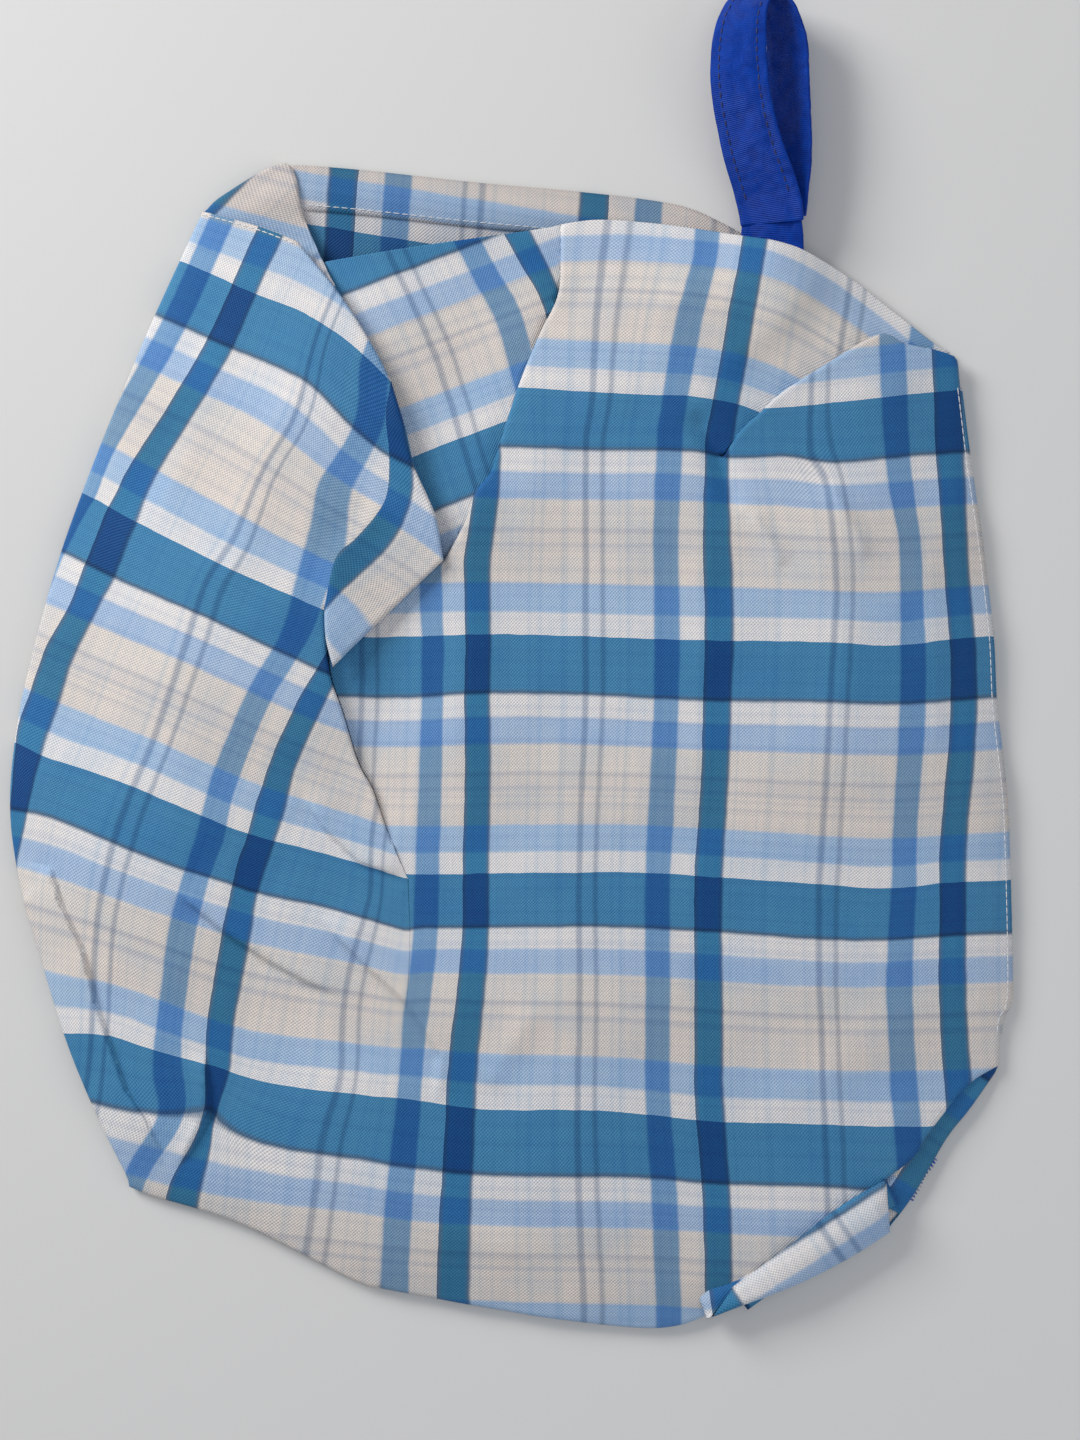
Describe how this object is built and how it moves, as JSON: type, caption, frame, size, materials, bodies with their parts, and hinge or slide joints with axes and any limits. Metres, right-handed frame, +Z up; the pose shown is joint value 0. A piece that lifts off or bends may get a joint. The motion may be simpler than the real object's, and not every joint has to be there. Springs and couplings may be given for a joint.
{
  "type": "laundry bag",
  "caption": "Soft bag of printed woven cloth with a hemmed mouth, an oval base and a sewn strap loop, lying flat and partly folded.",
  "frame": {"origin": "on the surface that the bag lies on, under the middle of the whole object", "axes": "+Z up from the surface, +Y from the base towards the mouth and the strap loop, +X along the mouth"},
  "size_m": [0.2994, 0.3998, 0.033],
  "materials": {
    "wall_cloth": "printed plain weave, slight sheen",
    "base_cloth": "printed plain weave, slight sheen",
    "strap": "blue taffeta, crumpled",
    "white_thread": "twisted thread",
    "blue_thread": "twisted thread"
  },
  "bodies": {
    "bag": {"back_wall": "wall_cloth", "front_wall": "wall_cloth", "base_panel": "base_cloth", "base_seam_overlock": "blue_thread", "front_hem": "wall_cloth", "front_hem_stitching": "white_thread", "back_hem": "wall_cloth", "back_hem_stitching": "white_thread", "side_seam": "wall_cloth", "side_seam_stitching": "white_thread", "strap_ends": "strap", "strap_bar_tack": "blue_thread"},
    "loop": {"strap_loop": "strap", "strap_left_stitching": "blue_thread", "strap_right_stitching": "blue_thread"}
  },
  "joints": [
    {"name": "loop_swing", "type": "hinge", "parent": "bag", "child": "loop", "pos_m": [0.07909, 0.13267, 0.00914], "axis": [0.866, 0, 0.5], "range_deg": [0, 90]}
  ]
}
